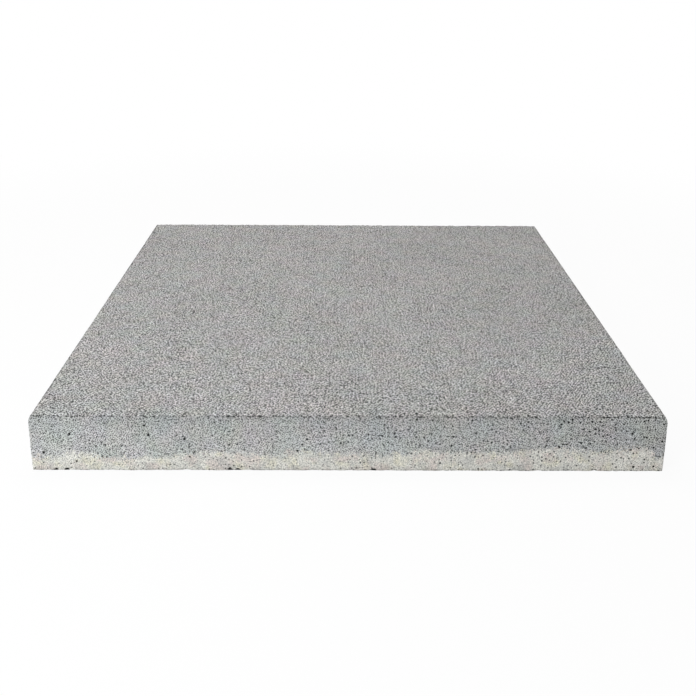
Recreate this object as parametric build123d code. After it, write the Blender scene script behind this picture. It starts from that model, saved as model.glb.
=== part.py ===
from build123d import *
import os

# A square concrete paving slab, pressed in one piece, with a part-round arris along its four top edges.
# Millimetres, +Z up. The origin is at the centre of the underside, which lies on the bed.

# Driving dimensions
slab_width = 400.0  # along X, from side face to side face
slab_depth = 400.0  # along Y, from front face to back face
slab_thickness = 38.0  # from the underside to the wearing face
arris_run = 1.5  # how far each arris reaches in over the wearing face
arris_drop = 4.5  # how far it comes down the side, where it runs out tangent to the side face


def cross_section(plane, span):
    """The slab cut across one span: flat underside, upright sides, and an arris at each top edge.

    The arris leaves the side face tangent to it and meets the wearing face in a crisp line.
    """
    side = span / 2
    arris_line = side - arris_run
    shoulder = slab_thickness - arris_drop
    upright = (0, 1)
    with BuildSketch(plane) as section:
        with BuildLine():
            Polyline((-side, shoulder), (-side, 0), (side, 0), (side, shoulder))
            TangentArc((side, shoulder), (arris_line, slab_thickness), tangent=upright)
            Line((arris_line, slab_thickness), (-arris_line, slab_thickness))
            TangentArc((-side, shoulder), (-arris_line, slab_thickness), tangent=upright)
        make_face()
    return section.sketch


def paving_slab():
    """What two bars share, one along Y and one along X, so that the arrises mitre at the corners."""
    bar_along_y = extrude(cross_section(Plane.XZ, slab_width), amount=slab_depth / 2, both=True)
    bar_along_x = extrude(cross_section(Plane.YZ, slab_depth), amount=slab_width / 2, both=True)
    return bar_along_y & bar_along_x


os.makedirs("parts", exist_ok=True)
slab = paving_slab()
slab.label = "paving_slab"
export_step(slab, "parts/paving_slab.step")
print("paving_slab", "volume", round(slab.volume), "size", slab.bounding_box().size)
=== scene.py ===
import math
import random

import bpy
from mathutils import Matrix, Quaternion, Vector, noise
from mathutils.geometry import delaunay_2d_cdt


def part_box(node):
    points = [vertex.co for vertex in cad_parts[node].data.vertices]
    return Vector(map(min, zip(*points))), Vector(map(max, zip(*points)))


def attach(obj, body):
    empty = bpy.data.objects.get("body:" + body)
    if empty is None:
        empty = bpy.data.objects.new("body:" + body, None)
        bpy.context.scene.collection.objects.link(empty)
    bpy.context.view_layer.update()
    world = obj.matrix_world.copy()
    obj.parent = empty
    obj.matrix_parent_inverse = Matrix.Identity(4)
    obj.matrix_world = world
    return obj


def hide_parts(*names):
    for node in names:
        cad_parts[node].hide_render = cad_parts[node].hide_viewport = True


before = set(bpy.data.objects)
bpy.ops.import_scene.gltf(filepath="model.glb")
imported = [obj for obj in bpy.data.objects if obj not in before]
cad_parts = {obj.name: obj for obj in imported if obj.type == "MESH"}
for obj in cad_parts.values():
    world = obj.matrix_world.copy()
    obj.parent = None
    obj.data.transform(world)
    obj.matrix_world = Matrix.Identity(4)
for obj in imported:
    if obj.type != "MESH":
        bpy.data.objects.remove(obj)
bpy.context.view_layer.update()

# metres throughout, in the CAD part's own frame: underside at z = 0, front face towards -y
mm = 0.001
slabLow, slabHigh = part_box("paving_slab")
slabWidth = slabHigh[0] - slabLow[0]
slabThick = slabHigh[2] - slabLow[2]
half = slabWidth / 2
print("frame loaded, slab", round(slabWidth / mm), "x", round(slabThick / mm), "mm")


# the slab's form; a noise is (size, shift), a fade is full to the first distance and gone at the second
slab = {
    # edges, with the arris as in the CAD part
    "arrisRun": 1.5 * mm,                # over the wearing face
    "arrisDrop": 4.5 * mm,               # down the side
    "lineTurn": 1.6 * mm,                # width in which the tilt turns up at the arris line
    "cornerRadius": 0.8 * mm,            # upright corners, just off sharp

    # mesh spacing
    "topPitch": 3.0 * mm,
    "sidePitch": 2.1 * mm,
    "underPitch": 7.0 * mm,
    "stray": (0.27, 0.23),               # how far points leave their rows, in pitches
    "edgeStep": 1.4 * mm,                # along arris and foot
    "edgeRows": (0.45 * mm, 1.0 * mm, 1.8 * mm),        # beside the arris line and above the foot
    "cornerSteps": (0.35 * mm, 0.8 * mm, 1.35 * mm),    # away from the upright corners
    "underRows": ((1.6 * mm, 2), (4.0 * mm, 3)),        # in from the foot, and how many steps apart
    "underMargin": 9.0 * mm,
    "lip": 6.0 * mm,                     # strip of the wearing face that is meshed with the sides
    "weld": 0.002 * mm,

    # round voids
    "topPits": 2300,                     # tries; crowded ones and those in dense patches drop out
    "sidePits": 300,                     # on each side
    "arrisPits": 120,                    # along each arris line
    "arrisPitReach": 0.4 * mm,           # to both sides of the line
    "pitRadius": (0.30 * mm, 0.92 * mm),
    "pitPower": 2.6,                     # the higher, the more small ones
    "pitChance": (0.75, 0.9),            # share kept on average, and how much patches differ
    "pitNoise": (45 * mm, 6.0),
    "pitClear": 1.35,                    # least distance between two, in sums of their radii
    "pitDepth": (0.88, 1.54),            # depth over radius
    "pitUneven": (0.82, 1.18),           # radius round the rim
    "pitRim": 1.12,                      # rim and wall, in radii
    "pitWall": 0.78,
    "wallDepth": 0.7,                    # share of the depth at the wall
    "pitSpokes": (6, 8),                 # points round a small and a large void
    "largePit": 0.6 * mm,
    "pitMargin": 1.3,                    # other mesh points stay this many radii off,
    "sideRoom": 0.25 * mm,               # and this much more on the sides
    "topRoom": 0.4 * mm,                 # or on the wearing face
    "paleShare": 0.35,                   # voids kept in the pale foot
    "paleHeight": 12.3 * mm,

    # sand plucked out along the arris line, and chips
    "pluckDepth": 0.60 * mm,
    "pluckFade": (0.0, 1.1 * mm),
    "pluckNoise": (2.6 * mm, 9.0),
    "pluckFrom": (-0.25, 0.15),          # noise where it starts and where it is full
    "stretchNoise": (55 * mm, 2.25),     # stretches with more and less of it
    "stretchMean": (0.8, 0.8),           # average and swing
    "stretchRange": (0.3, 1.0),
    "darkFade": (0.45 * mm, 1.35 * mm),  # how far the painted shade and dirt of the line reach
    "chipsPerSide": 6,
    "chipWidth": (1.2 * mm, 2.6 * mm),
    "chipDepth": (0.35 * mm, 0.85 * mm),
    "chipShape": (0.9, 1.6),             # height over width, and how steep the walls are

    # foot edge, worn and broken, with painted contact shade along it
    "footDrop": 0.3 * mm,                # worn back
    "footWorn": (0.6, 0.8),              # average and swing
    "wornNoise": (7 * mm, 3.0),
    "footNotch": 0.45 * mm,              # single grains missing
    "notchNoise": (3.6 * mm, 21.0),
    "notchFrom": (0.36, 0.61),           # noise where a notch starts and where it is full
    "footFade": (0.0, 1.8 * mm),
    "footShade": (0.65, 0.5),            # painted contact shade along the foot, average and swing
    "shadeNoise": (2.2 * mm, 14.0),
    "shadeFade": (0.3 * mm, 1.5 * mm),
    "notchFade": (0.3 * mm, 1.8 * mm),   # painted shade in the notches above it
    "frontGaps": (15, 22, 125, 130, 216),   # where larger grains are missing from the front, in mm, their hollows painted with shade
    "gapWidth": (1.3 * mm, 2.0 * mm),
    "gapHeight": 1.7 * mm,
    "gapDepth": 0.9 * mm,
    "gapSteep": 2.0,

    # roughness of the faces, fine, medium and wide
    "reliefNoises": ((1.25 * mm, 0.0), (4.2 * mm, 5.0), (48 * mm, 2.0)),
    "faceRelief": (0.13 * mm, 0.11 * mm, 0.12 * mm),
    "faceSink": 0.12 * mm,               # set in, to stay near the CAD faces
    "underRelief": (0.1 * mm, 0.2 * mm, 0.1 * mm),
    "underSink": 0.25 * mm,
    "seed": 11,
}
arrisRadius = (slab["arrisRun"] ** 2 + slab["arrisDrop"] ** 2) / (2 * slab["arrisRun"])
arrisTurn = math.asin(slab["arrisDrop"] / arrisRadius)
shoulder = slabThick - slab["arrisDrop"]
sideLength = shoulder + arrisRadius * arrisTurn     # up the side to the arris line
stripLength = sideLength + slab["lip"]
rng = random.Random(slab["seed"])


def clampTo(value, low, high):
    return max(low, min(high, value))


def ramp(value, low, high):
    return clampTo((value - low) / (high - low), 0, 1)


def fadeOut(distance, full, gone):
    return 1 - ramp(distance, full, gone)


def ripple(point, size, shift):
    return noise.noise(point / size + Vector((shift, shift * 0.7, shift * 1.3)))


def uneven(point, pattern, mean, swing):
    return mean + swing * ripple(point, *pattern)


def hollow(along, width, away, height, steep):
    # 0 at the rim of an oval hollow, 1 over its bottom
    return clampTo(steep * (1 - (along / width) ** 2 - (away / height) ** 2), 0, 1)


def sideSection(v):
    # inset, height and tilt of the surface, v metres up the side
    if v <= shoulder:
        return 0.0, v, 0.0
    turn = min(v - shoulder, sideLength - shoulder) / arrisRadius
    over = ramp(v, sideLength - slab["lineTurn"] / 2, sideLength + slab["lineTurn"] / 2)
    inset = arrisRadius * (1 - math.cos(turn)) + max(v - sideLength, 0)
    return inset, shoulder + arrisRadius * math.sin(turn), turn + (math.pi / 2 - arrisTurn) * over


def onSide(side, u, v):
    # u runs along one side from corner to corner, sides go round from the front one
    inset, z, tilt = sideSection(v)
    if v <= 0:
        tilt = -math.pi / 4                         # foot line
    ring = half - inset
    core = ring - slab["cornerRadius"]
    x = (u / half - 1) * ring
    nearX = clampTo(x, -core, core)
    out = Vector((x - nearX, core - ring)).normalized()
    flat = Vector((nearX, -core)) + out * slab["cornerRadius"]
    turned = side * math.pi / 2
    c, s = round(math.cos(turned)), round(math.sin(turned))
    place = Vector((flat.x * c - flat.y * s, flat.x * s + flat.y * c, z))
    level = math.cos(tilt)
    normal = Vector(((out.x * c - out.y * s) * level, (out.x * s + out.y * c) * level, math.sin(tilt)))
    return place, normal


def edgeStops():
    # spacing along one side, closed up towards the two corners
    ends = [0.0, *slab["cornerSteps"]]
    inner = slabWidth - 2 * ends[-1]
    count = round(inner / slab["edgeStep"])
    middle = [ends[-1] + inner * i / count for i in range(1, count)]
    return ends + middle + [slabWidth - e for e in reversed(ends)]


# a mesh point is (a, b, drop, pore), with a and b in metres along its patch, and pore marking where shade and
# dirt are painted dark
def plain(a, b):
    return (a, b, 0.0, 0.0)


pitCell = 3 * slab["pitRadius"][1]      # voids are kept by square cells, wide enough to look only next door


def pitsNear(pits, a, b):
    i, j = int(a / pitCell), int(b / pitCell)
    return [p for di in (-1, 0, 1) for dj in (-1, 0, 1) for p in pits.get((i + di, j + dj), ())]


def scatterPits(pits, count, rangeA, rangeB, paleBelow=0.0):
    # round voids that keep clear of each other, in denser and emptier patches, more small ones than large
    small, large = slab["pitRadius"]
    for _ in range(count):
        radius = small + (large - small) * rng.random() ** slab["pitPower"]
        a = rng.uniform(*rangeA)
        b = rng.uniform(*rangeB)
        chance = uneven(Vector((a, b, rangeB[0])), slab["pitNoise"], *slab["pitChance"])
        if b < paleBelow:
            chance *= slab["paleShare"]
        clear = all(math.hypot(a - p[0], b - p[1]) > slab["pitClear"] * (radius + p[2])
                    for p in pitsNear(pits, a, b))
        if rng.random() < chance and clear:
            pits.setdefault((int(a / pitCell), int(b / pitCell)), []).append((a, b, radius))


def pitPoints(pit):
    # bottom, rim and wall of one void, the wall and bottom marked for painted shade and dirt
    a, b, radius = pit
    depth = radius * rng.uniform(*slab["pitDepth"])
    spokes = slab["pitSpokes"][radius >= slab["largePit"]]
    start = rng.uniform(0, math.tau)
    points = [(a, b, depth, 1.0)]
    for i in range(spokes):
        angle = start + math.tau * i / spokes
        reach = radius * rng.uniform(*slab["pitUneven"])
        ca, sa = math.cos(angle) * reach, math.sin(angle) * reach
        points.append(plain(a + ca * slab["pitRim"], b + sa * slab["pitRim"]))
        points.append((a + ca * slab["pitWall"], b + sa * slab["pitWall"], depth * slab["wallDepth"], 1.0))
    return points


def latticePoints(pitch, rangeA, rangeB):
    # jittered rows of points, every other row moved over by half a step
    lowA, highA = rangeA
    lowB, highB = rangeB
    strayA, strayB = slab["stray"]
    rows = round((highB - lowB) / (pitch * math.sqrt(3) / 2))
    columns = round((highA - lowA) / pitch)
    points = []
    for row in range(rows + 1):
        for column in range(columns + 1 - row % 2):
            a = lowA + (column + 0.5 * (row % 2)) * (highA - lowA) / columns
            a += rng.uniform(-strayA, strayA) * pitch
            b = lowB + (highB - lowB) * row / rows
            b += rng.uniform(-strayB, strayB) * pitch
            points.append(plain(clampTo(a, *rangeA), clampTo(b, *rangeB)))
    return points


def cutPits(points, pits, room):
    # takes the points out of the voids and puts rims, walls and bottoms there
    kept = []
    for point in points:
        a, b = point[:2]
        near = pitsNear(pits, a, b)
        if all(math.hypot(a - p[0], b - p[1]) > p[2] * slab["pitMargin"] + room for p in near):
            kept.append(point)
    for group in pits.values():
        for pit in group:
            kept += pitPoints(pit)
    return kept


def triangulate(points, outlineCount):
    # the first points of the list run round the patch
    flat = [Vector((p[0], p[1])) / mm for p in points]
    found = delaunay_2d_cdt(flat, [], [list(range(outlineCount))], 1, 1e-6)
    source = [ids[0] for ids in found[3]]
    return [[source[i] for i in face] for face in found[2]]


# grains and mortar lost along the edges
chips = []
for side in range(4):
    for _ in range(slab["chipsPerSide"]):
        chipU = rng.uniform(0, slabWidth)
        chipWidth = rng.uniform(*slab["chipWidth"])
        chips.append((side, chipU, chipWidth, rng.uniform(*slab["chipDepth"])))

# the other sides get as many gaps along the foot as the front, at random places
footGaps = [(0, u * mm, rng.uniform(*slab["gapWidth"])) for u in slab["frontGaps"]]
for side in (1, 2, 3):
    for _ in slab["frontGaps"]:
        footGaps.append((side, rng.uniform(0, slabWidth), rng.uniform(*slab["gapWidth"])))


def arrisLoss(place, fromLine, side, u):
    # how deep the arris is plucked or chipped at a place, and how much painted shade and dirt its groove gets
    stretch = uneven(place, slab["stretchNoise"], *slab["stretchMean"])
    pluck = ramp(ripple(place, *slab["pluckNoise"]), *slab["pluckFrom"])
    pluck *= clampTo(stretch, *slab["stretchRange"])
    loss = slab["pluckDepth"] * pluck * fadeOut(fromLine, *slab["pluckFade"])
    rise, steep = slab["chipShape"]
    for chipSide, chipU, width, depth in chips:
        if chipSide == side:
            loss = max(loss, depth * hollow(u - chipU, width, fromLine, rise * width, steep))
    return loss, pluck * fadeOut(fromLine, *slab["darkFade"])


def footLoss(place, fromLine):
    # how deep the foot edge is worn or notched at a place, and how much painted contact shade it gets
    notch = ramp(ripple(place, *slab["notchNoise"]), *slab["notchFrom"])
    wornAndShaded = uneven(place, slab["wornNoise"], *slab["footWorn"])
    loss = (slab["footDrop"] * wornAndShaded + slab["footNotch"] * notch) * fadeOut(fromLine, *slab["footFade"])
    shade = uneven(place, slab["shadeNoise"], *slab["footShade"]) * fadeOut(fromLine, *slab["shadeFade"])
    return loss, max(shade, notch * fadeOut(fromLine, *slab["notchFade"]))


def footGap(side, u, fromLine):
    # how far inside a gap of the foot edge a place lies, from 0 to 1; this also sets its painted shade
    inside = 0.0
    for gapSide, gapU, width in footGaps:
        if gapSide == side:
            inside = max(inside, hollow(u - gapU, width, fromLine, slab["gapHeight"], slab["gapSteep"]))
    return inside


def faceRelief(place, heights):
    return sum(high * ripple(place, *pattern) for high, pattern in zip(heights, slab["reliefNoises"]))


# the mesh being built: one closed skin whose patches share their border vertices
skin = {"places": [], "pore": [], "wornAndShaded": [], "faces": [], "uvs": [], "index": {}}


def addVertex(place, normal, loss, pore, wornAndShaded):
    key = tuple(round(c / slab["weld"]) for c in place)
    if key not in skin["index"]:
        skin["index"][key] = len(skin["places"])
        skin["places"].append(place - normal * loss)
        skin["pore"].append(pore)
        skin["wornAndShaded"].append(wornAndShaded)
    return skin["index"][key]


def addPatch(triangles, numbers, uvs, flip=False):
    for triangle in triangles:
        if flip:
            triangle = triangle[::-1]
        skin["faces"].append([numbers[i] for i in triangle])
        skin["uvs"].extend(uvs[i] for i in triangle)


# texture layout, true to size: wearing face, the four sides above it, the underside smaller beside it
layout = {"gap": 4 * mm, "underShare": 0.44}
layoutSide = slabWidth + 4 * (stripLength + layout["gap"]) + 2 * layout["gap"]


def layoutPlace(a, b, cornerA, cornerB, share=1.0):
    return ((cornerA + a * share) / layoutSide, (cornerB + b * share) / layoutSide)


def buildSide(side, stops):
    # one side with its arris and a lip of the wearing face, as a patch of u along and v up
    pitch = slab["sidePitch"]
    count = round(stripLength / pitch)
    rise = [stripLength * i / count for i in range(1, count)]
    border = [plain(u, 0.0) for u in stops]
    border += [plain(slabWidth, v) for v in rise]
    border += [plain(u, stripLength) for u in reversed(stops)]
    border += [plain(0.0, v) for v in reversed(rise)]

    # rows along the corners, the foot and the arris line
    points = []
    for step in slab["cornerSteps"]:
        points += [plain(u, v) for u in (step, slabWidth - step) for v in rise]
    rows = [sideLength, *slab["edgeRows"]]
    rows += [sideLength + way * row for row in slab["edgeRows"] for way in (-1, 1)]
    clear = len(slab["cornerSteps"]) + 2            # first stop off the corner
    points += [plain(u, v) for u in stops[clear:-clear] for v in rows]

    # between them loose rows, then voids
    inner = slab["cornerSteps"][-1] + 0.5 * pitch
    beside = slab["edgeRows"][-1] + 0.5 * pitch
    below = (beside, sideLength - beside)
    above = (sideLength + beside, stripLength - 0.6 * pitch)
    for rangeV in (below, above):
        points += latticePoints(pitch, (inner, slabWidth - inner), rangeV)
    pits = {}
    along = (2 * inner, slabWidth - 2 * inner)
    onLine = (sideLength - slab["arrisPitReach"], sideLength + slab["arrisPitReach"])
    scatterPits(pits, slab["arrisPits"], along, onLine)
    scatterPits(pits, slab["sidePits"], along, below, slab["paleHeight"])
    points = border + cutPits(points, pits, slab["sideRoom"])

    numbers, uvs = [], []
    cornerB = slabWidth + 2 * layout["gap"] + side * (stripLength + layout["gap"])
    for u, v, drop, pore in points:
        place, normal = onSide(side, u, v)
        loss, wornAndShaded = arrisLoss(place, abs(sideLength - v), side, u)
        foot, shade = footLoss(place, v)
        gap = footGap(side, u, v)
        loss += foot + drop
        if v > 0:
            loss += slab["gapDepth"] * gap
        loss += slab["faceSink"] - faceRelief(place, slab["faceRelief"])
        # foot gaps are painted dark like voids, and the foot's painted contact shade joins the arris's
        # painted shade and dirt
        numbers.append(addVertex(place, normal, loss, max(pore, gap), max(wornAndShaded, shade)))
        uvs.append(layoutPlace(u, v, layout["gap"], cornerB))
    addPatch(triangulate(points, len(border)), numbers, uvs)


def ringOf(stops, v):
    # the row of points round the slab, v up its sides, seen from above
    ring = [onSide(side, u, v)[0] for side in range(4) for u in stops[:-1]]
    return [plain(p.x + half, p.y + half) for p in ring]


def buildTop(stops):
    border = ringOf(stops, stripLength)
    low = slab["arrisRun"] + slab["lip"] + 0.6 * slab["topPitch"]
    across = (low, slabWidth - low)
    pits = {}
    scatterPits(pits, slab["topPits"], across, across)
    points = border + cutPits(latticePoints(slab["topPitch"], across, across), pits, slab["topRoom"])
    numbers, uvs = [], []
    up = Vector((0, 0, 1))
    for a, b, drop, pore in points:
        place = Vector((a - half, b - half, slabThick))
        loss = drop + slab["faceSink"] - faceRelief(place, slab["faceRelief"])
        numbers.append(addVertex(place, up, loss, pore, 0.0))
        uvs.append(layoutPlace(a, b, layout["gap"], layout["gap"]))
    addPatch(triangulate(points, len(border)), numbers, uvs)


def buildUnderside(stops):
    border = ringOf(stops, 0.0)
    points = list(border)
    clear = len(slab["cornerSteps"]) + 3
    for row, step in slab["underRows"]:
        reach = half - row
        for u in stops[clear:-clear:step]:
            t = (u - half) * reach / half
            for a, b in ((t, -reach), (reach, t), (-t, reach), (-reach, -t)):
                points.append(plain(a + half, b + half))
    across = (slab["underMargin"], slabWidth - slab["underMargin"])
    points += latticePoints(slab["underPitch"], across, across)
    numbers, uvs = [], []
    down = Vector((0, 0, -1))
    corner = slabWidth + 2 * layout["gap"]
    for a, b, _, _ in points:
        place = Vector((a - half, b - half, 0.0))
        fromLine = half - max(abs(place.x), abs(place.y))
        foot, shade = footLoss(place, fromLine)
        loss = foot + slab["underSink"] - faceRelief(place, slab["underRelief"])
        # the underside's edge takes the foot's painted contact shade
        numbers.append(addVertex(place, down, max(loss, 0), 0.0, shade))
        uvs.append(layoutPlace(a, b, corner, layout["gap"], layout["underShare"]))
    addPatch(triangulate(points, len(border)), numbers, uvs, flip=True)


def addObject(name, data):
    thing = bpy.data.objects.new(name, data)
    bpy.context.scene.collection.objects.link(thing)
    return thing


stops = edgeStops()
for side in range(4):
    buildSide(side, stops)
print("sides built,", len(skin["faces"]), "triangles")
buildTop(stops)
print("wearing face built,", len(skin["faces"]), "triangles")
buildUnderside(stops)
print("underside built,", len(skin["faces"]), "triangles in all")

slabMesh = bpy.data.meshes.new("pavingSlab")
slabMesh.from_pydata(skin["places"], [], skin["faces"])
for name in ("pore", "wornAndShaded"):
    layer = slabMesh.attributes.new(name, "FLOAT", "POINT")
    layer.data.foreach_set("value", skin[name])
uvLayer = slabMesh.uv_layers.new(name="OFBake")
uvLayer.data.foreach_set("uv", [c for uv in skin["uvs"] for c in uv])
slabMesh.polygons.foreach_set("use_smooth", [True] * len(slabMesh.polygons))
slabMesh.update()
pavingSlab = addObject("pavingSlab", slabMesh)


# small helpers for building node trees
def put(tree, kind, settings, sockets):
    node = tree.nodes.new(kind)
    for name, value in settings.items():
        setattr(node, name, value)
    for name, value in sockets.items():
        if isinstance(value, bpy.types.NodeSocket):
            tree.links.new(value, node.inputs[name])
        else:
            node.inputs[name].default_value = value
    return node


def calc(tree, operation, *values):
    return put(tree, "ShaderNodeMath", {"operation": operation}, dict(enumerate(values))).outputs[0]


def product(tree, *values):
    result = values[0]
    for value in values[1:]:
        result = calc(tree, "MULTIPLY", result, value)
    return result


def combine(tree, operation, first, second):
    return put(tree, "ShaderNodeVectorMath", {"operation": operation}, {0: first, 1: second}).outputs[0]


def scaleColour(tree, colour, amount):
    return put(tree, "ShaderNodeVectorMath", {"operation": "SCALE"}, {0: colour, "Scale": amount}).outputs[0]


def spread(tree, value, fromLow, fromHigh, toLow, toHigh, smooth=False):
    settings = {"interpolation_type": "SMOOTHSTEP" if smooth else "LINEAR", "clamp": True}
    sockets = {"Value": value, "From Min": fromLow, "From Max": fromHigh, "To Min": toLow, "To Max": toHigh}
    return put(tree, "ShaderNodeMapRange", settings, sockets).outputs["Result"]


def between(tree, share, atNone, atFull):
    return spread(tree, share, 0.0, 1.0, atNone, atFull)


def cells(tree, coords, size, disorder=1.0):
    # distance from the middle of each cell, and three random values for it
    node = put(tree, "ShaderNodeTexVoronoi", {"voronoi_dimensions": "2D", "feature": "F1"},
               {"Vector": coords, "Scale": 1 / size, "Randomness": disorder})
    parts = put(tree, "ShaderNodeSeparateColor", {}, {"Color": node.outputs["Color"]})
    return node.outputs["Distance"], parts.outputs[0], parts.outputs[1], parts.outputs[2]


def cloud(tree, coords, size, detail, shift):
    moved = combine(tree, "ADD", coords, (shift, 0.6 * shift, 1.7 * shift))
    node = put(tree, "ShaderNodeTexNoise", {"noise_dimensions": "3D"},
               {"Vector": moved, "Scale": 1 / size, "Detail": detail, "Roughness": 0.55})
    return node.outputs["Fac"]


def tones(tree, value, levels):
    # a ramp of grey levels written from 0 to 2
    node = put(tree, "ShaderNodeValToRGB", {}, {"Fac": value})
    elements = node.color_ramp.elements
    while len(elements) < len(levels):
        elements.new(0.5)
    for element, (position, level) in zip(elements, levels):
        element.position = position
        element.color = (level / 2, level / 2, level / 2, 1)
    return calc(tree, "MULTIPLY", node.outputs["Color"], 2.0)


def blend(tree, amount, under, over):
    settings = {"data_type": "RGBA", "blend_type": "MIX"}
    return put(tree, "ShaderNodeMix", settings, {0: amount, 6: under, 7: over}).outputs[2]


def choose(tree, share, first, second):
    return put(tree, "ShaderNodeMix", {"data_type": "FLOAT"}, {0: share, 2: first, 3: second}).outputs[0]


def swing(tree, value, reach):
    # a noise value turned into a shift to either side
    return calc(tree, "MULTIPLY", calc(tree, "SUBTRACT", value, 0.5), reach)


def newMaterial(name):
    material = bpy.data.materials.new(name)
    material.use_nodes = True
    material.node_tree.nodes.clear()
    return material, material.node_tree


# pressed concrete: grey facing mix, pale backing mix along the foot
# a cloud is (size, detail, shift), a range of four runs from, to, and the values there
concrete = {
    # facing mix: fine sand and dark specks
    "facing": (0.531, 0.530, 0.522),
    "grain": 0.45 * mm,
    "grainTones": [(0.0, 0.03), (0.10, 0.30), (0.22, 0.78), (0.5, 1.05),
                   (0.8, 1.25), (0.95, 1.55), (1.0, 1.9)],
    "grainPower": (0.6, 0.95),           # contrast of the grains on the sides and on the wearing face, where the stronger contrast is partly painted shade of the grains' relief
    "speckCell": 1.65 * mm,              # one dark speck to a cell of the wearing face
    "speckFiner": 1.3,                   # how much finer on the sides
    "speckTones": [(0.0, 0.04), (0.6, 0.20), (1.0, 0.50)],
    "speckReach": (0.24, 0.31),          # speck radius in cells,
    "speckOpen": (1.01, 1.24),           # times this on the sides and on the wearing face
    "speckEdge": (-0.02, 0.03, 0.0, 1.0),
    "speckOrder": 0.7,                   # below 1 they keep apart
    "speckTurn": 0.55,                   # and their rows run askew

    # slow changes of tone and hue, and painted light and shade on the sides, the arris and the margin of the
    # wearing face
    "mottleCloud": (15 * mm, 3.0, 0.1),
    "mottle": (0.25, 0.75, 0.965, 1.035),
    "driftCloud": (120 * mm, 2.0, 0.33),
    "drift": (0.3, 0.7, 0.965, 1.03),
    "pinkCloud": (16 * mm, 1.0, 0.5),
    "pink": (0.15, -0.03, 0.03),         # the two ways in which the hue wanders
    "blueCloud": (12 * mm, 1.0, 0.9),
    "blue": (0.0, 0.0, 0.16),
    "paintedSideLight": (1.15, 0.90),            # painted light on the sides: lighter just above the line, as from floor bounce, darker at the arris, less so towards +x
    "paintedArrisShade": 0.86,                  # painted shade on the arris itself, where it meets the wearing face
    "rim": (0.72 * mm, 2.4 * mm, 1.0, 0.0),     # painted shade along the margin of the wearing face
    "rimShade": 0.80,

    # backing mix
    "backing": (0.768, 0.743, 0.693, 1),
    "backingTones": [(0.0, 0.25), (0.10, 0.70), (0.3, 0.96), (0.7, 1.1), (1.0, 1.35)],
    "paleSpecks": (0.0, 2.0, 0.62, 1.38),       # specks show less in it
    "palePatches": {
        "straw": {"colour": (0.755, 0.712, 0.585, 1),
                  "cloud": (9 * mm, 2.0, 1.1), "range": (0.50, 0.66, 0.0, 0.8)},
        "rosy": {"colour": (0.705, 0.630, 0.592, 1),
                 "cloud": (8 * mm, 2.0, 2.3), "range": (0.48, 0.64, 0.0, 0.9)},
        "ash": {"colour": (0.53, 0.525, 0.51, 1),
                "cloud": (11 * mm, 3.0, 3.7), "range": (0.50, 0.66, 0.0, 0.52)},
    },

    # line between the mixes, and the damp-looking strip above it
    "bandHeight": 12.4 * mm,
    "bandTilt": 0.017,                   # it climbs towards +x
    "bandDip": (4.8 * mm, 16 * mm, 4.0 * mm, 0.0),      # and is lower at the front corner there
    "waveCloud": (24 * mm, 2.0, 0.0),
    "bandWave": 13.0 * mm,
    "frayCloud": (4.5 * mm, 2.0, 0.3),
    "bandFray": 8.0 * mm,
    "bandGrains": 4.2 * mm,              # how far single grains stray over it
    "bandEdge": (-1.4 * mm, 1.4 * mm, 1.0, 0.0),
    "dampStart": (0.0, 1.5 * mm, 0.0, 1.0),
    "dampEnd": (2.0 * mm, 5.5 * mm, 1.0, 0.0),
    "dampCloud": (20 * mm, 2.0, 0.7),
    "dampTone": (0.42, 0.60, 1.0, 0.78),

    # pores, and grains missing along arris and foot, painted dark with shade and dirt
    "poreCell": 2.5 * mm,
    "poreReach": 0.25,                   # largest pore radius, in cells
    "porePower": 1.6,                    # the higher, the fewer large ones
    "poreEdge": (-0.01, 0.02, 0.0, 1.0),
    "patchCloud": (45 * mm, 1.0, 1.9),
    "porePatch": (0.35, 0.65, 0.78, 1.15),      # pore size in the dense and in the open patches
    "poreDrift": (0.88, 1.14),           # on the sides, from -x to +x
    "topPores": 1.12,                    # on the wearing face
    "palePores": 0.85,                   # and in the backing mix
    "voidEdge": (0.25, 0.6, 0.0, 1.0),
    "crumbCell": 1.5 * mm,
    "crumbReach": 0.56,
    "crumbSpread": 0.45,
    "crumbEdge": (-0.03, 0.05, 0.0, 1.0),
    # painted shade and dirt in pores, voids and gaps
    "hollowShadeAndDirt": 0.03,
    "wornAndShadedTone": (0.1, 0.9, 1.0, 0.74),   # mortar between the missing grains, darker with painted shade and dirt, and the foot's painted contact shade

    # sheen, and relief too fine for the mesh
    "rough": (0.80, 0.97),
    "specular": 0.25,
    "grainRise": 0.6,
    "grainGap": 0.9,
    "poreSink": 2.5,
    "bumpStrength": 0.45,
    "bumpHeight": 0.22 * mm,
    "levelSlope": 0.72,                  # a face counts as level from this z of its normal
    "upSlope": (0.55, 0.85, 0.0, 1.0),   # and the arris passes into the wearing face here
}


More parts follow.
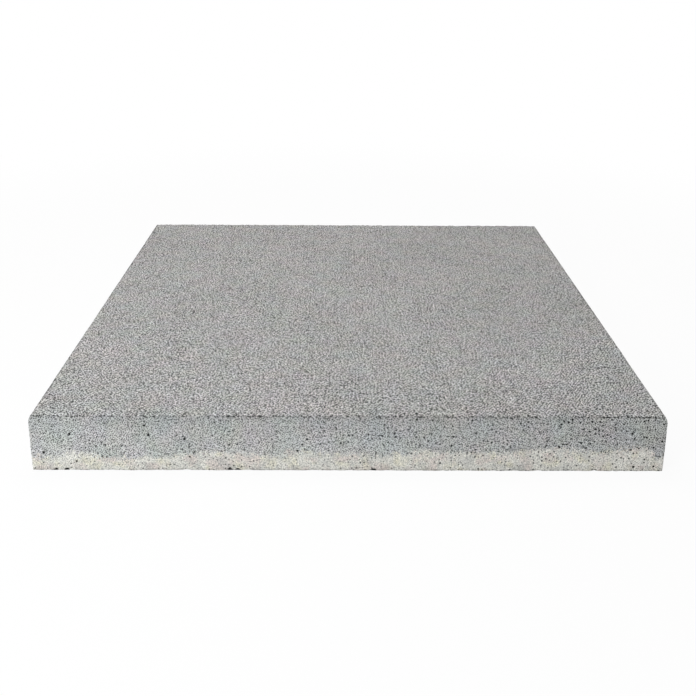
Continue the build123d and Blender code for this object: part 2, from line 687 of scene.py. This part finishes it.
def surfacePlace(tree):
    # where a point lies, and which way the surface looks there
    coords = put(tree, "ShaderNodeTexCoord", {}, {}).outputs["Object"]
    axes = put(tree, "ShaderNodeSeparateXYZ", {}, {"Vector": coords}).outputs
    normal = put(tree, "ShaderNodeNewGeometry", {}, {}).outputs["True Normal"]
    slopes = put(tree, "ShaderNodeSeparateXYZ", {}, {"Vector": normal}).outputs
    slopeX, slopeY, slopeZ = [calc(tree, "ABSOLUTE", slopes[axis]) for axis in "XYZ"]
    level = calc(tree, "GREATER_THAN", slopeZ, concrete["levelSlope"])
    facesX = product(tree, calc(tree, "GREATER_THAN", slopeX, slopeY), calc(tree, "SUBTRACT", 1.0, level))
    flatX = choose(tree, facesX, axes["X"], axes["Y"])
    flatY = choose(tree, level, axes["Z"], axes["Y"])
    flat = put(tree, "ShaderNodeCombineXYZ", {}, {"X": flatX, "Y": flatY})
    outward = calc(tree, "MAXIMUM", calc(tree, "ABSOLUTE", axes["X"]), calc(tree, "ABSOLUTE", axes["Y"]))
    return {
        "coords": coords,
        "flat": flat.outputs[0],                             # the same, laid flat on each face
        "across": axes["X"],
        "height": axes["Z"],
        "inward": calc(tree, "SUBTRACT", half, outward),     # distance from the nearest side
        "level": level,
        "upward": spread(tree, slopes["Z"], *concrete["upSlope"], smooth=True),
    }


# pinholes painted dark with shade and dirt
def poreMask(tree, flat, fewer):
    far, pick, _, _ = cells(tree, flat, concrete["poreCell"])
    size = product(tree, calc(tree, "POWER", pick, concrete["porePower"]), concrete["poreReach"], fewer)
    return spread(tree, calc(tree, "SUBTRACT", size, far), *concrete["poreEdge"], smooth=True)


def crumbMask(tree, flat, wornAndShaded):
    # painted shade and dirt in gaps where single grains broke out, closer together the more a place is worn,
    # and along the foot's painted contact shade
    far, pick, _, _ = cells(tree, flat, concrete["crumbCell"])
    size = calc(tree, "SUBTRACT", wornAndShaded, calc(tree, "MULTIPLY", pick, concrete["crumbSpread"]))
    size = calc(tree, "MULTIPLY", size, concrete["crumbReach"])
    return spread(tree, calc(tree, "SUBTRACT", size, far), *concrete["crumbEdge"], smooth=True)


def speckTone(tree, place):
    # dark specks, set one by one in the fine sand
    finer = between(tree, place["level"], concrete["speckFiner"], 1.0)
    turned = put(tree, "ShaderNodeVectorRotate", {"rotation_type": "Z_AXIS"},
                 {"Vector": scaleColour(tree, place["flat"], finer), "Angle": concrete["speckTurn"]})
    far, pick, other, _ = cells(tree, turned.outputs[0], concrete["speckCell"], concrete["speckOrder"])
    size = product(tree, between(tree, other, *concrete["speckReach"]),
                   between(tree, place["upward"], *concrete["speckOpen"]))
    inside = spread(tree, calc(tree, "SUBTRACT", size, far), *concrete["speckEdge"], smooth=True)
    change = calc(tree, "SUBTRACT", tones(tree, pick, concrete["speckTones"]), 1.0)
    return calc(tree, "MULTIPLY_ADD", change, inside, 1.0)


def wanderingHue(tree, coords):
    # white, tinged now pink or green, now blue or yellow
    hue = (1.0, 1.0, 1.0)
    for name in ("pink", "blue"):
        amount = swing(tree, cloud(tree, coords, *concrete[name + "Cloud"]), 1.0)
        hue = combine(tree, "ADD", hue, scaleColour(tree, concrete[name], amount))
    return hue


def bandMask(tree, place, stray):
    # wavy, frayed line between the two mixes, and the damp-looking strip above it
    coords = place["coords"]
    wave = swing(tree, cloud(tree, coords, *concrete["waveCloud"]), concrete["bandWave"])
    fray = swing(tree, cloud(tree, coords, *concrete["frayCloud"]), concrete["bandFray"])
    tilted = calc(tree, "MULTIPLY_ADD", place["across"], concrete["bandTilt"], concrete["bandHeight"])
    corner = (half, -half, concrete["bandHeight"])
    toCorner = put(tree, "ShaderNodeVectorMath", {"operation": "DISTANCE"}, {0: coords, 1: corner})
    dip = spread(tree, toCorner.outputs["Value"], *concrete["bandDip"], smooth=True)
    line = calc(tree, "SUBTRACT", calc(tree, "ADD", calc(tree, "ADD", wave, fray), tilted), dip)
    above = calc(tree, "SUBTRACT", place["height"], line)
    loose = calc(tree, "ADD", above, swing(tree, stray, concrete["bandGrains"]))
    inBand = spread(tree, loose, *concrete["bandEdge"], smooth=True)
    strip = product(tree, spread(tree, above, *concrete["dampStart"], smooth=True),
                    spread(tree, above, *concrete["dampEnd"], smooth=True),
                    cloud(tree, coords, *concrete["dampCloud"]))
    return inBand, spread(tree, strip, *concrete["dampTone"])


def paintedSideShade(tree, place):
    # painted light and shade up the sides: lighter low down, darker towards the arris, most on the -x side
    foot, head = [spread(tree, place["across"], 0.0, half, tone, 1.0) for tone in concrete["paintedSideLight"]]
    fade = spread(tree, place["height"], concrete["bandHeight"], slabThick, foot, head)
    arris = spread(tree, place["height"], shoulder, slabThick, 1.0, concrete["paintedArrisShade"])
    return between(tree, place["upward"], product(tree, fade, arris), 1.0)


def backingColour(tree, coords):
    # pale mix with straw, rosy and ashen patches
    colour = concrete["backing"]
    for patch in concrete["palePatches"].values():
        amount = spread(tree, cloud(tree, coords, *patch["cloud"]), *patch["range"])
        colour = blend(tree, amount, colour, patch["colour"])
    return colour


def poreSize(tree, place, inBand):
    patch = spread(tree, cloud(tree, place["coords"], *concrete["patchCloud"]), *concrete["porePatch"])
    onSides = spread(tree, place["across"], -half, half, *concrete["poreDrift"])
    onFace = between(tree, place["upward"], onSides, concrete["topPores"])
    return product(tree, patch, onFace, between(tree, inBand, 1.0, concrete["palePores"]))


def meshValue(tree, name):
    return put(tree, "ShaderNodeAttribute", {"attribute_name": name}, {}).outputs["Fac"]


def concreteMaterial():
    material, tree = newMaterial("concreteFinish")
    place = surfacePlace(tree)
    coords, flat, upward = place["coords"], place["flat"], place["upward"]

    # fine sand and dark specks
    grainFar, grainR, grainG, grainB = cells(tree, flat, concrete["grain"])
    # on the wearing face the grain contrast includes painted shade of its relief
    grainPower = between(tree, upward, *concrete["grainPower"])
    grainTone = calc(tree, "POWER", tones(tree, grainR, concrete["grainTones"]), grainPower)
    specks = speckTone(tree, place)

    # the two mixes
    inBand, damp = bandMask(tree, place, grainB)
    # the sides' painted light and shade go into the facing mix here
    shade = product(tree, grainTone, specks, damp, paintedSideShade(tree, place))
    facing = scaleColour(tree, concrete["facing"], shade)
    facing = combine(tree, "MULTIPLY", facing, wanderingHue(tree, coords))
    paleSpecks = spread(tree, specks, *concrete["paleSpecks"])
    backingTone = product(tree, tones(tree, grainG, concrete["backingTones"]), paleSpecks)
    backing = scaleColour(tree, backingColour(tree, coords), backingTone)
    colour = blend(tree, inBand, facing, backing)

    # painted shade and dirt in pores, voids and the plucked arris, and painted contact shade along the foot
    # line
    pinhole = poreMask(tree, flat, poreSize(tree, place, inBand))
    void = spread(tree, meshValue(tree, "pore"), *concrete["voidEdge"], smooth=True)
    # painted shade and dirt of the plucked arris, and painted contact shade of the foot
    wornAndShaded = meshValue(tree, "wornAndShaded")
    dark = calc(tree, "MAXIMUM", calc(tree, "MAXIMUM", pinhole, void), crumbMask(tree, flat, wornAndShaded))
    shadeAndDirtTone = between(tree, dark, 1.0, concrete["hollowShadeAndDirt"])
    wornAndShadedTone = spread(tree, wornAndShaded, *concrete["wornAndShadedTone"])

    # slow changes over the faces, and painted shade along the margin of the wearing face
    mottle = spread(tree, cloud(tree, coords, *concrete["mottleCloud"]), *concrete["mottle"])
    drift = spread(tree, cloud(tree, coords, *concrete["driftCloud"]), *concrete["drift"])
    # painted shade along the edges of the wearing face
    rim = product(tree, spread(tree, place["inward"], *concrete["rim"], smooth=True), upward)
    paintedRimShade = between(tree, rim, 1.0, concrete["rimShade"])
    colour = scaleColour(tree, colour, product(tree, shadeAndDirtTone, wornAndShadedTone, mottle, drift, paintedRimShade))

    rough = between(tree, grainB, *concrete["rough"])
    relief = calc(tree, "SUBTRACT", product(tree, grainR, concrete["grainRise"]),
                  product(tree, grainFar, concrete["grainGap"]))
    relief = calc(tree, "SUBTRACT", relief, product(tree, pinhole, concrete["poreSink"]))
    bump = put(tree, "ShaderNodeBump", {}, {"Strength": concrete["bumpStrength"],
                                            "Distance": concrete["bumpHeight"], "Height": relief})
    shader = put(tree, "ShaderNodeBsdfPrincipled", {},
                 {"Base Color": colour, "Roughness": rough, "Normal": bump.outputs["Normal"],
                  "Specular IOR Level": concrete["specular"]})
    put(tree, "ShaderNodeOutputMaterial", {}, {"Surface": shader.outputs["BSDF"]})
    return material


slabMesh.materials.append(concreteMaterial())
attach(pavingSlab, "root")
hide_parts("paving_slab")
print("concrete finish done")


# floor and surroundings
studio = {
    "floorReach": 12.0,
    "floorColour": (0.86, 0.86, 0.86, 1),
    "glow": (0.32, 0.85, 0.93, 1.0),     # how white the floor is to the camera, near the slab and farther off
    "fill": 0.40,
    "fillColour": (0.97, 0.985, 1.0, 1),
    "white": (1, 1, 1, 1),
}


def seenDirectly(tree):
    rays = put(tree, "ShaderNodeLightPath", {}, {})
    mirrored = calc(tree, "MAXIMUM", rays.outputs["Is Glossy Ray"], rays.outputs["Is Transmission Ray"])
    return calc(tree, "MAXIMUM", rays.outputs["Is Camera Ray"], mirrored)


def floorMaterial():
    material, tree = newMaterial("studioFloor")
    matt = put(tree, "ShaderNodeBsdfDiffuse", {}, {"Color": studio["floorColour"]}).outputs[0]
    white = put(tree, "ShaderNodeEmission", {}, {"Color": studio["white"], "Strength": 1.0}).outputs[0]
    coords = put(tree, "ShaderNodeTexCoord", {}, {}).outputs["Object"]
    away = put(tree, "ShaderNodeVectorMath", {"operation": "LENGTH"}, {0: coords}).outputs["Value"]
    glow = spread(tree, away, *studio["glow"], smooth=True)
    share = product(tree, seenDirectly(tree), glow)
    mixed = put(tree, "ShaderNodeMixShader", {}, {0: share, 1: matt, 2: white}).outputs[0]
    put(tree, "ShaderNodeOutputMaterial", {}, {"Surface": mixed})
    return material


reach = studio["floorReach"]
floorCorners = [(-reach, -reach, 0), (reach, -reach, 0), (reach, reach, 0), (-reach, reach, 0)]
floorMesh = bpy.data.meshes.new("studioFloor")
floorMesh.from_pydata(floorCorners, [], [(0, 1, 2, 3)])
floorMesh.materials.append(floorMaterial())
studioFloor = addObject("studioFloor", floorMesh)

world = bpy.data.worlds.new("studioWorld")
world.use_nodes = True
worldTree = world.node_tree
worldTree.nodes.clear()
fillLight = put(worldTree, "ShaderNodeBackground", {},
                {"Color": studio["fillColour"], "Strength": studio["fill"]}).outputs[0]
plainWhite = put(worldTree, "ShaderNodeBackground", {},
                 {"Color": studio["white"], "Strength": 1.0}).outputs[0]
shown = put(worldTree, "ShaderNodeMixShader", {},
            {0: seenDirectly(worldTree), 1: fillLight, 2: plainWhite}).outputs[0]
put(worldTree, "ShaderNodeOutputWorld", {}, {"Surface": shown})
bpy.context.scene.world = world

# soft boxes, placed and sized in slab widths, aimed at the middle of the slab
softBoxes = {
    "keyLight": {"place": (-1.45, -1.95, 1.3), "size": 1.2, "power": 5.15, "colour": (0.94, 1.0, 1.0)},
    "topLight": {"place": (-0.35, 0.3, 2.3), "size": 1.6, "power": 4.2, "colour": (1.06, 1.0, 0.975)},
}
middle = Vector((0, 0, slabThick / 2))
for name, box in softBoxes.items():
    lamp = bpy.data.lights.new(name, "AREA")
    lamp.shape = "SQUARE"
    lamp.size = box["size"] * slabWidth
    lamp.energy = box["power"]
    lamp.color = box["colour"]
    lampObject = addObject(name, lamp)
    lampObject.location = Vector(box["place"]) * slabWidth
    lampObject.rotation_mode = "QUATERNION"
    lampObject.rotation_quaternion = (middle - lampObject.location).to_track_quat("-Z", "Y")

# camera fitted to the slab's corners in the picture; the shift keeps its upright edges nearly parallel
picture = {
    "side": 696,
    "focalPixels": 887.6,
    "sensor": 36.0,                      # mm
    "standShares": (-0.0139, -1.7333, 0.7022),   # slab widths from the centre of the wearing face
    "yaw": 0.477,                        # degrees
    "pitch": 16.434,
    "roll": 0.394,
    "shift": -0.20,
    "clip": (0.01, 100.0),
}
lens = bpy.data.cameras.new("slabCamera")
lens.sensor_width = picture["sensor"]
lens.lens = picture["sensor"] * picture["focalPixels"] / picture["side"]
lens.shift_y = picture["shift"]
lens.clip_start, lens.clip_end = picture["clip"]
yaw, pitch, roll = [math.radians(picture[angle]) for angle in ("yaw", "pitch", "roll")]
look = Vector((math.sin(yaw) * math.cos(pitch), math.cos(yaw) * math.cos(pitch), -math.sin(pitch)))
slabCamera = addObject("slabCamera", lens)
slabCamera.location = Vector(picture["standShares"]) * slabWidth + Vector((0, 0, slabThick))
slabCamera.rotation_mode = "QUATERNION"
slabCamera.rotation_quaternion = look.to_track_quat("-Z", "Y") @ Quaternion((0, 0, 1), roll)
bpy.context.scene.camera = slabCamera
bpy.context.scene.view_settings.view_transform = "Standard"
print("studio and camera set")
